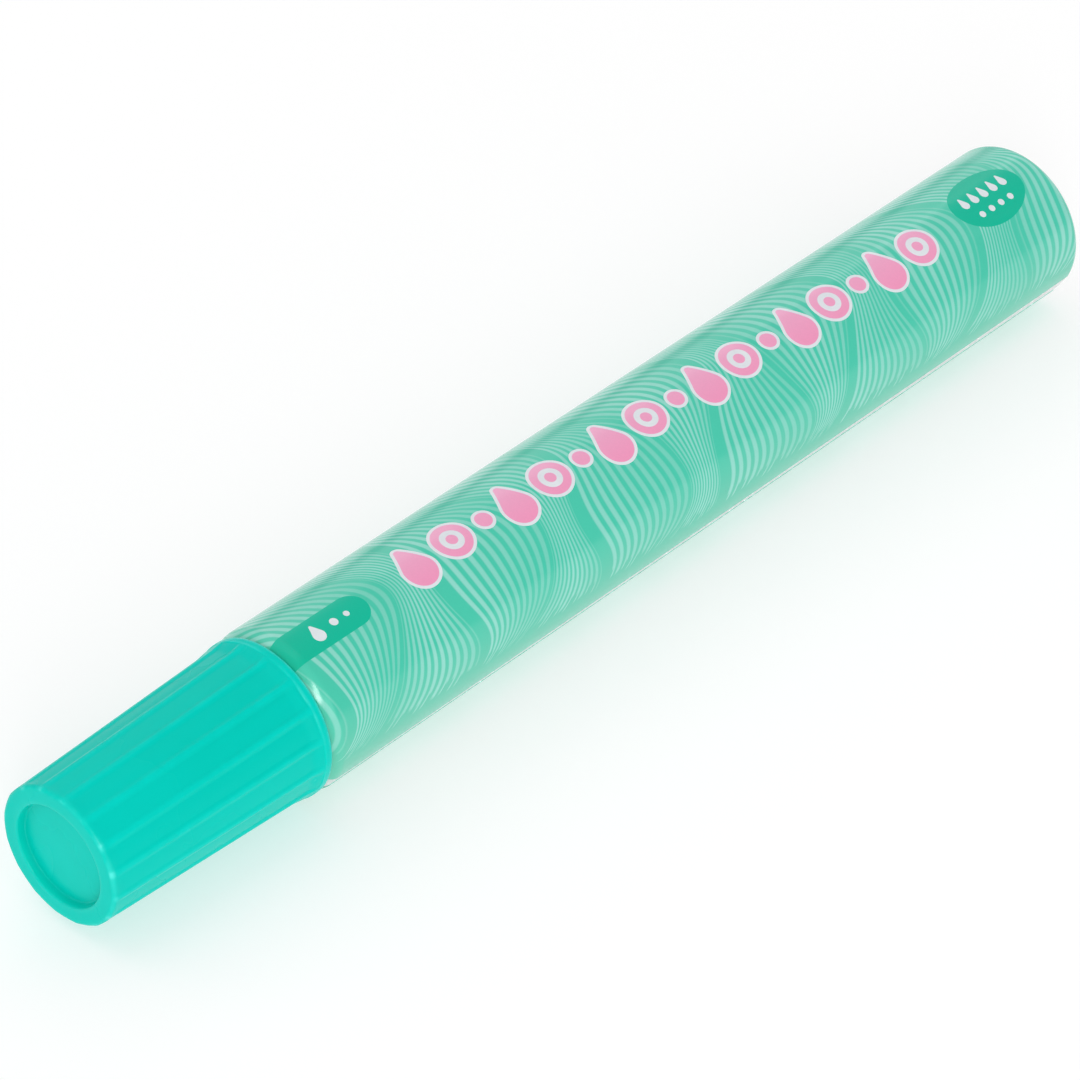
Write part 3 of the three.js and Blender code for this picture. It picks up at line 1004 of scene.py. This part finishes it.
# the lines stop short of the film's lower edge, each at its own height
line = g.math("ROUND", place_in)
stop = g.add(g.mul(g.math("SINE", g.add(g.mul(line, 2.4), g.mul(number, 1.7))), 0.8), -1.6)
amount = g.mul(g.mul(stripe, rim), g.mul(fade, g.step(g.sub(v, stop), 0.0, 0.7)))
soft = g.noise(g.coords(), 55.0, 2.0)
amount = g.mul(amount, g.ramp(soft, 0.3, 0.7, 0.72, 1.0))
ground = g.mix(g.noise(g.coords(), 26.0, 2.0), lin(60, 200, 171), lin(74, 206, 178))
# painted reflection: the ground runs slightly paler towards the film's lower edge, standing in for the bright floor's
# reflection on the tube's lower side
ground = g.mix(g.step(v, 6.0, -3.5), ground, lin(92, 200, 173))
film_finish(g, u, v, g.mix(amount, ground, lin(153, 223, 210)))
cover(film_green, g.material)

g = Graph("film_pink_ink")
u, v = g.uv("Unrolled")
slope = g.ramp(
    g.add(v, g.mul(u, 10 / 105 * math.pi / 180 * FILM_R)),
    arc_v(80 + 60 * 10 / 105) - 3.6,
    arc_v(80 + 60 * 10 / 105) + 3.6,
    0.0,
    1.0,
)
film_finish(g, u, v, g.mix(slope, lin(247, 152, 192), lin(246, 174, 208)))
cover(film_pink, g.material)

g = Graph("film_white_ink")
u, v = g.uv("Unrolled")
tone = g.mix(g.noise(g.coords(), 500.0), lin(224, 226, 234), lin(236, 240, 243))
film_finish(g, u, v, tone)
cover(film_white, g.material)

g = Graph("film_badge_ink")
u, v = g.uv("Unrolled")
# painted reflection: the badge ink runs slightly lighter towards its upper side
shade = g.ramp(v, arc_v(58), arc_v(96), 0.0, 1.0)
film_finish(g, u, v, g.mix(shade, lin(0, 187, 154), lin(2, 191, 160)), 0.25)
cover(film_badge, g.material)

# ------------------------------------------------------------------ applicator


def white_plastic(name, low, high):
    g = Graph(name)
    where = g.coords()
    tint = g.noise(where, 90.0, 3.0)
    fine = g.noise(where, 2400.0, 2.0)
    wear = g.noise(g.stretched(where, 2200, 500, 500), 1.0, 4.0, 0.7)
    g.set(
        Base_Color=g.mix(g.ramp(tint, 0.3, 0.7, 0, 1), low, high),
        Roughness=g.ramp(wear, 0.3, 0.7, 0.33, 0.5),
        Specular_IOR_Level=0.4,
        Subsurface_Weight=0.25,
        Subsurface_Radius=(1.0, 1.0, 0.95),
        Subsurface_Scale=0.0012,
        Normal=g.bump(fine, 0.12, 0.00003, g.bump(tint, 0.08, 0.0002)),
    )
    return g.material


nozzle_plastic = white_plastic("white_plastic", (0.70, 0.73, 0.71, 1), (0.76, 0.78, 0.765, 1))
nozzle_prof = dense(
    filleted(
        [
            (12.5, 6.45, 0.15), (12.8, 6.3, 0.1), (32.6, 6.3, 0.4), (32.6, 2.4, 0.2), (34.0, 2.4, 0.2),
            (34.0, 6.6, 0.3), (33.2, 7.2, 0.3), (31.9, 7.2, 0.2), (31.2, 7.36, 0.35), (30.5, 7.2, 0.2),
            (27.9, 7.2, 0.2), (27.2, 7.36, 0.35), (26.5, 7.2, 0.2), (24.25, 7.2, 0.08),
            (24.25, 8.35, 0.2), (23.1, 8.35, 0.25), (22.85, 8.05, 0.15), (22.7, 7.75, 0.3), (13.0, 7.05, 0.3), (12.5, 6.85, 0.15),
        ],
        closed=True,
        steps=4,
    ),
    0.9,
)
grip_th = ring_angles(360)
NS = np.repeat(np.array([p[0] for p in nozzle_prof])[:, None], 360, 1)
NR = np.repeat(np.array([p[1] for p in nozzle_prof])[:, None], 360, 1)
# fine grip ribs round the housing's tapered outside
ribbed = (NS > 14.6) & (NS < 21.6) & (NR > 6.9)
rib = smooth(-0.35, 0.55, np.cos(grip_th * 36.0))[None, :]
NR = np.where(ribbed, NR - 0.2 * smooth(14.6, 15.2, NS) * (1 - smooth(21.0, 21.6, NS)) * (1 - rib), NR)
nozzle = turned("nozzle_housing", NS, NR, grip_th, loop=True, sharp=45.0)
cover(nozzle, nozzle_plastic)
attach(nozzle, "tube")
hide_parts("nozzle")

ring_prof = dense(
    filleted(
        [
            (7.7, 6.25, 0.2), (7.7, 7.0, 0.35), (8.55, 7.0, 0.1), (8.7, 6.88, 0.08), (8.95, 6.88, 0.08), (9.1, 7.0, 0.1),
            (10.2, 7.0, 0.2), (10.2, 5.92, 0.06), (9.95, 5.92, 0.06), (9.85, 6.25, 0.06),
        ],
        closed=True,
        steps=5,
    ),
    0.5,
)
ring = turned(
    "tip_ring_clamp", [p[0] for p in ring_prof], [p[1] for p in ring_prof], ring_angles(128), loop=True, sharp=50.0
)
cover(ring, nozzle_plastic)
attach(ring, "dabber")
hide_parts("tip_ring")

cover(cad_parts["sponge_carrier"], nozzle_plastic)

g = Graph("silicone")
where = g.coords()
bloom = g.noise(where, 300.0, 4.0, 0.6)
g.set(
    Base_Color=g.mix(g.ramp(bloom, 0.3, 0.7, 0, 1), (0.62, 0.66, 0.63, 1), (0.74, 0.77, 0.74, 1)),
    Roughness=g.ramp(bloom, 0.3, 0.7, 0.42, 0.6),
    Subsurface_Weight=0.3,
    Subsurface_Scale=0.001,
    Normal=g.bump(g.noise(where, 1800.0, 3.0), 0.15, 0.00004),
)
cover(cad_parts["valve_poppet"], g.material)

# spring: closed ends, open coils between
turns = np.linspace(0, 7, 7 * 44 + 1)
pitch = 0.9 + 2.32 * smooth(0.75, 1.35, turns) * (1 - smooth(5.65, 6.25, turns))
climb = np.concatenate([[0], np.cumsum((pitch[1:] + pitch[:-1]) / 2 * np.diff(turns))])
line_s = 14.42 + (31.78 - 14.42) * climb / climb[-1]
line_a = turns * TAU
mean_r, wire_r = 3.7, 0.42
centre = np.stack([line_s, mean_r * np.cos(line_a), mean_r * np.sin(line_a)], 1)
tangent = np.gradient(centre, axis=0)
tangent /= np.linalg.norm(tangent, axis=1)[:, None]
radial = np.stack([np.zeros_like(line_a), np.cos(line_a), np.sin(line_a)], 1)
radial -= (radial * tangent).sum(1)[:, None] * tangent
radial /= np.linalg.norm(radial, axis=1)[:, None]
side = np.cross(tangent, radial)
loops = []
for k in range(len(centre)):
    ends = min(k, len(centre) - 1 - k)
    grow = wire_r * (0.72 if ends == 0 else 0.93 if ends == 1 else 1.0)
    a = np.arange(12) * TAU / 12
    loops.append(centre[k] + grow * (np.cos(a)[:, None] * radial[k] + np.sin(a)[:, None] * side[k]))
loops = np.array(loops)
wire = loops.reshape(-1, 3)
wire = np.stack([wire[:, 0] - HALF, wire[:, 1], wire[:, 2] + AXIS_Z], 1) * MM
wire_faces = grid_faces(len(loops), 12, False)
wire_faces.append(tuple(range(11, -1, -1)))
wire_faces.append(tuple((len(loops) - 1) * 12 + i for i in range(12)))
spring = outward(new_object("spring_coil", wire, wire_faces, 50.0))
add_floats(spring, "along", np.repeat(line_a * mean_r, 12))
add_floats(spring, "about", np.tile(np.arange(12) / 12, len(loops)))
g = Graph("spring_steel")
along, about = g.attribute("along"), g.attribute("about")
n = g.tree.nodes.new("ShaderNodeCombineXYZ")
g.put(g.mul(along, 0.12), n.inputs[0])
g.put(g.mul(g.math("SINE", g.mul(about, TAU)), 9.0), n.inputs[1])
g.put(g.mul(g.math("COSINE", g.mul(about, TAU)), 9.0), n.inputs[2])
drawn = g.noise(n.outputs[0], 2.2, 4.0, 0.65)
stain = g.noise(g.coords(), 500.0, 3.0)
g.set(
    Base_Color=g.mix(g.ramp(g.add(g.mul(drawn, 0.5), g.mul(stain, 0.5)), 0.3, 0.7, 0, 1), (0.42, 0.44, 0.46, 1), (0.62, 0.63, 0.64, 1)),
    Metallic=1.0,
    Roughness=g.ramp(drawn, 0.3, 0.7, 0.2, 0.36),
    Normal=g.bump(drawn, 0.12, 0.00002),
)
cover(spring, g.material)
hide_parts("valve_spring")
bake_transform(spring)


# sponge: open-celled foam, its cells in the mesh
def cells(points, scale, seed):
    """Distance to the nearest of one random point per cell of a lattice, in cell widths."""
    p = points / scale
    base = np.floor(p).astype(int)
    best = np.full(len(p), 9.0)
    for i in (-1, 0, 1):
        for j in (-1, 0, 1):
            for k in (-1, 0, 1):
                c = base + np.array([i, j, k])
                h = (c[:, 0] * 73856093) ^ (c[:, 1] * 19349663) ^ (c[:, 2] * 83492791) ^ seed
                jitter = np.stack(
                    [((h * m + 12345) % 10007) / 10007.0 for m in (48271, 69621, 16807)], 1
                )
                best = np.minimum(best, np.linalg.norm(c + jitter - p, axis=1))
    return best


sponge_prof = [(11.15, 0.8), (11.15, 2.4), (11.15, 4.0)]
sponge_prof += filleted([(11.15, 4.2), (11.15, 4.8, 0.3), (8.2, 4.8), (7.62, 4.8, 0.15), (7.62, 5.2)], steps=4)
dome = np.radians(np.linspace(4, 88.5, 46))
sponge_prof += [(7.5 - 2.1 * math.sin(a), 5.7 * math.cos(a)) for a in dome]
sponge_prof = dense(sponge_prof, 0.28)
sponge_th = ring_angles(150)
SS = np.repeat(np.array([p[0] for p in sponge_prof])[:, None], len(sponge_th), 1)
SR = np.repeat(np.array([p[1] for p in sponge_prof])[:, None], len(sponge_th), 1)
flat_pts = np.stack(
    [SS, SR * np.cos(sponge_th)[None, :], SR * np.sin(sponge_th)[None, :]], -1
).reshape(-1, 3)
pit = 0.10 * (1 - smooth(0.12, 0.55, cells(flat_pts, 0.55, 7))) + 0.05 * (
    1 - smooth(0.1, 0.5, cells(flat_pts, 0.3, 23))
)
pit = pit.reshape(SS.shape)
on_dome = (SS < 7.45)
SS = SS + np.where(on_dome, pit, 0.0)
SR = np.maximum(0.05, SR - np.where(on_dome, 0.4, 1.0) * pit * (SR > 1.0))
sponge = turned("sponge_foam", SS, SR, sponge_th, first=11.15, last=5.45, sharp=180.0)
g = Graph("foam")
where = g.coords()
big = g.voronoi(where, 1700.0)
small = g.voronoi(where, 3600.0)
tone = g.noise(where, 160.0, 3.0)
pores = g.math("MAXIMUM", g.step(big, 0.34, 0.16), g.mul(g.step(small, 0.34, 0.18), 0.7))
foam = g.mix(g.ramp(tone, 0.3, 0.7, 0, 1), (0.84, 0.79, 0.63, 1), (0.9, 0.87, 0.75, 1))
# painted shade: the pores are darker where shade falls inside them
foam = g.mix(pores, foam, (0.42, 0.36, 0.24, 1))
g.set(
    Base_Color=foam,
    Roughness=g.ramp(tone, 0.3, 0.7, 0.82, 0.95),
    Specular_IOR_Level=0.2,
    Subsurface_Weight=0.3,
    Subsurface_Scale=0.0008,
    Sheen_Weight=0.15,
    Normal=g.bump(g.sub(1.0, pores), 0.5, 0.00012),
)
cover(sponge, g.material)
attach(sponge, "dabber")
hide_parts("sponge_tip")

# net: a plain weave of fine threads, drawn over the sponge and down inside the ring
NET_REACH, NET_GAP, THREAD = 7.9, 0.62, 0.083
net_line = [(5.03 + 2.45 * (1 - math.sqrt(max(0.0, 1 - (x / 6.02) ** 2.6))), x) for x in np.linspace(0, 5.98, 120)]
net_line += [(s, 6.06) for s in np.linspace(7.5, 9.75, 27)]
net_line = np.array(net_line)
net_len = np.concatenate([[0], np.cumsum(np.linalg.norm(np.diff(net_line, axis=0), axis=1))])


def net_point(x, y, lift):
    rho = np.hypot(x, y)
    t = rho / NET_REACH * net_len[-1]
    s = np.interp(t, net_len, net_line[:, 0])
    r = np.interp(t, net_len, net_line[:, 1])
    ds = np.interp(t + 0.05, net_len, net_line[:, 0]) - np.interp(t - 0.05, net_len, net_line[:, 0])
    dr = np.interp(t + 0.05, net_len, net_line[:, 1]) - np.interp(t - 0.05, net_len, net_line[:, 1])
    length = np.hypot(ds, dr) + 1e-9
    cx, cy = np.where(rho > 1e-9, x / (rho + 1e-12), 1.0), np.where(rho > 1e-9, y / (rho + 1e-12), 0.0)
    ns, nr = -dr / length, ds / length
    s, r = s + lift * ns, r + lift * nr
    return np.stack([s, r * cx, r * cy], -1)


net_pts, net_faces = [], []
lines = np.arange(-12, 13) * NET_GAP
for family in (0, 1):
    for i, c in enumerate(lines):
        reach = math.sqrt(max(0.0, NET_REACH**2 - c * c))
        if reach < 1.0:
            continue
        t = np.linspace(-reach, reach, max(9, int(2 * reach / 0.2)))
        over = 0.055 * np.cos((t / NET_GAP + i + family) * math.pi)
        x, y = (t, np.full_like(t, c)) if family == 0 else (np.full_like(t, c), t)
        line = net_point(x, y, over)
        tan = np.gradient(line, axis=0)
        tan /= np.linalg.norm(tan, axis=1)[:, None]
        out = net_point(x, y, over + 0.05) - line
        out -= (out * tan).sum(1)[:, None] * tan
        out /= np.linalg.norm(out, axis=1)[:, None]
        across = np.cross(tan, out)
        base = len(net_pts)
        for k in range(len(line)):
            for a in np.arange(6) * TAU / 6:
                net_pts.append(line[k] + THREAD * (math.cos(a) * out[k] + math.sin(a) * across[k]))
        net_faces += [tuple(base + i for i in f) for f in grid_faces(len(line), 6, False)]
        net_faces.append(tuple(base + i for i in range(5, -1, -1)))
        net_faces.append(tuple(base + (len(line) - 1) * 6 + i for i in range(6)))
net_pts = np.array(net_pts)
net_pts = np.stack([net_pts[:, 0] - HALF, net_pts[:, 1], net_pts[:, 2] + AXIS_Z], 1) * MM
net = outward(new_object("net_cover", net_pts, net_faces, 60.0))
g = Graph("netting")
where = g.coords()
fibre = g.noise(where, 5200.0, 3.0, 0.6)
age = g.noise(where, 220.0, 3.0)
g.set(
    Base_Color=g.mix(g.ramp(g.add(g.mul(fibre, 0.4), g.mul(age, 0.6)), 0.3, 0.7, 0, 1), (0.82, 0.82, 0.77, 1), (0.93, 0.93, 0.9, 1)),
    Roughness=g.ramp(fibre, 0.3, 0.7, 0.4, 0.6),
    Specular_IOR_Level=0.35,
    Sheen_Weight=0.2,
    Normal=g.bump(fibre, 0.2, 0.00001),
)
cover(net, g.material)
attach(net, "dabber")
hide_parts("mesh_cover")

# liner: foam wad with the tip ring's print pressed into it
liner_prof = filleted([(4.5, 1.0), (4.5, 5.6)], steps=3)
liner_prof += [(4.5 - 0.16 * math.sin(math.pi * k / 8) ** 2, 5.9 + 0.16 * k) for k in range(9)]
liner_prof += filleted([(4.52, 7.5), (4.52, 8.1, 0.3), (2.95, 8.1, 0.25), (2.95, 6.0)], steps=4)
liner_prof += [(2.95, 1.0)]
liner = turned(
    "liner_wad", [p[0] for p in liner_prof], [p[1] for p in liner_prof], ring_angles(96), first=4.5, last=2.95
)
g = Graph("liner_foam")
where = g.coords()
cell = g.voronoi(where, 2200.0)
dull = g.noise(where, 200.0, 3.0)
g.set(
    Base_Color=g.mix(g.ramp(dull, 0.3, 0.7, 0, 1), (0.87, 0.87, 0.84, 1), (0.94, 0.94, 0.92, 1)),
    Roughness=g.ramp(dull, 0.3, 0.7, 0.6, 0.8),
    Specular_IOR_Level=0.3,
    Subsurface_Weight=0.2,
    Subsurface_Scale=0.0008,
    Normal=g.bump(cell, 0.35, 0.00008),
)
cover(liner, g.material)
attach(liner, "cap_seal")
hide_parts("cap_liner")
